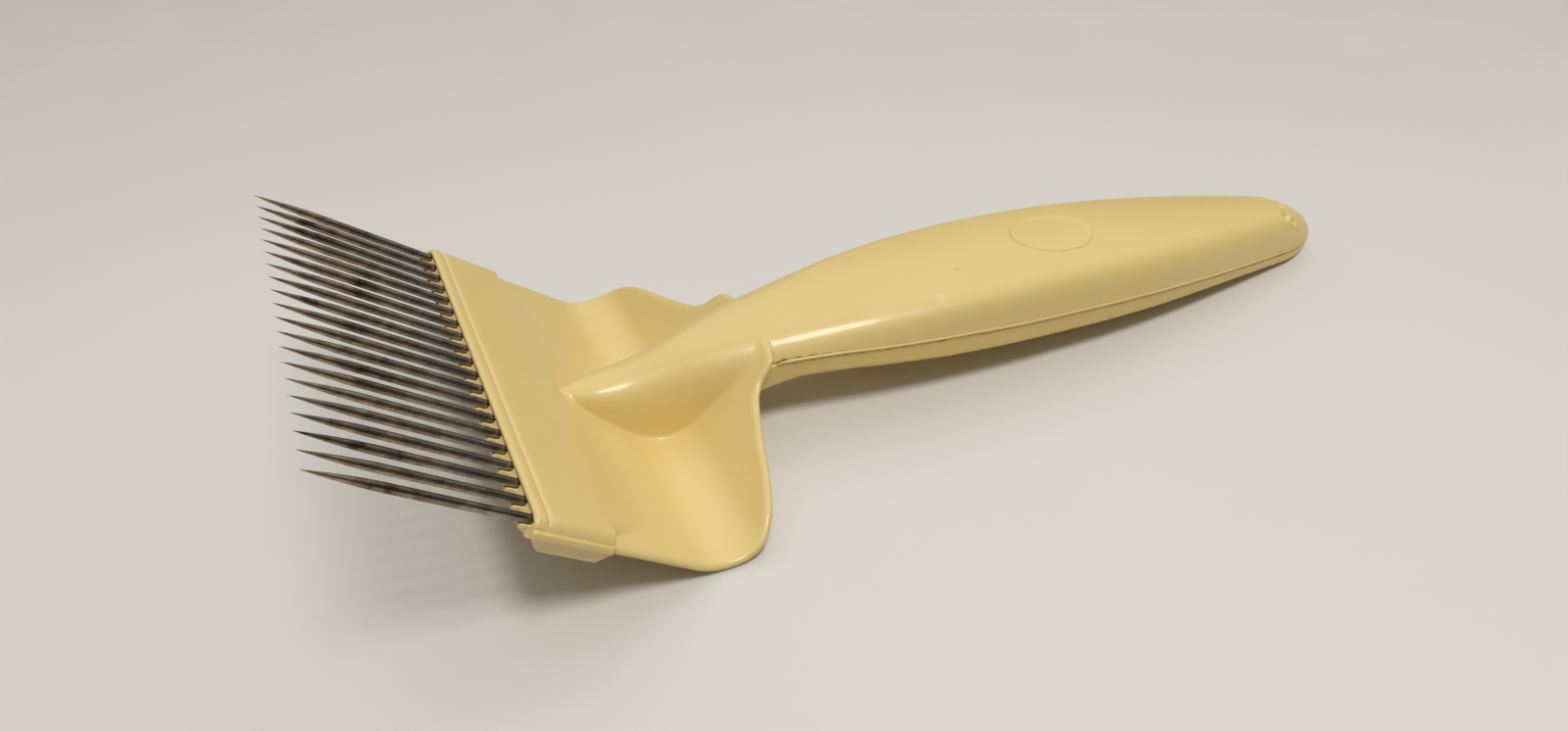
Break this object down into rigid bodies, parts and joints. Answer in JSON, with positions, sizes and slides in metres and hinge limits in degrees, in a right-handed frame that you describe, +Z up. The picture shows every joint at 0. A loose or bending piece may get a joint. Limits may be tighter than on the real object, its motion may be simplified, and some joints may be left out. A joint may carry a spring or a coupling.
{
  "type": "uncapping fork",
  "caption": "Hand fork for uncapping honeycomb: a row of straight steel needles in a plastic head with a winged finger guard and a long handle.",
  "frame": {"origin": "on the table under the middle of the fork's box, as it lies on its guard and its handle's end", "axes": "+X from the needles to the handle's end, +Z up, and y = 0 is the fork's plane of symmetry"},
  "size_m": [0.2136, 0.082, 0.0401],
  "materials": {
    "yellow_plastic": "glossy moulded, pale butter yellow",
    "cover_plastic": "glossy moulded, pale butter yellow",
    "bar_plastic": "glossy moulded, cream yellow",
    "needle_steel": "drawn and ground, lightly stained"
  },
  "bodies": {
    "root": {"body_shell": "yellow_plastic", "handle_underside_cover": "cover_plastic", "needle_bar": "bar_plastic", "needle_01": "needle_steel", "needle_02": "needle_steel", "needle_03": "needle_steel", "needle_04": "needle_steel", "needle_05": "needle_steel", "needle_06": "needle_steel", "needle_07": "needle_steel", "needle_08": "needle_steel", "needle_09": "needle_steel", "needle_10": "needle_steel", "needle_11": "needle_steel", "needle_12": "needle_steel", "needle_13": "needle_steel", "needle_14": "needle_steel", "needle_15": "needle_steel", "needle_16": "needle_steel", "needle_17": "needle_steel", "needle_18": "needle_steel", "needle_19": "needle_steel", "needle_20": "needle_steel"}
  },
  "joints": []
}
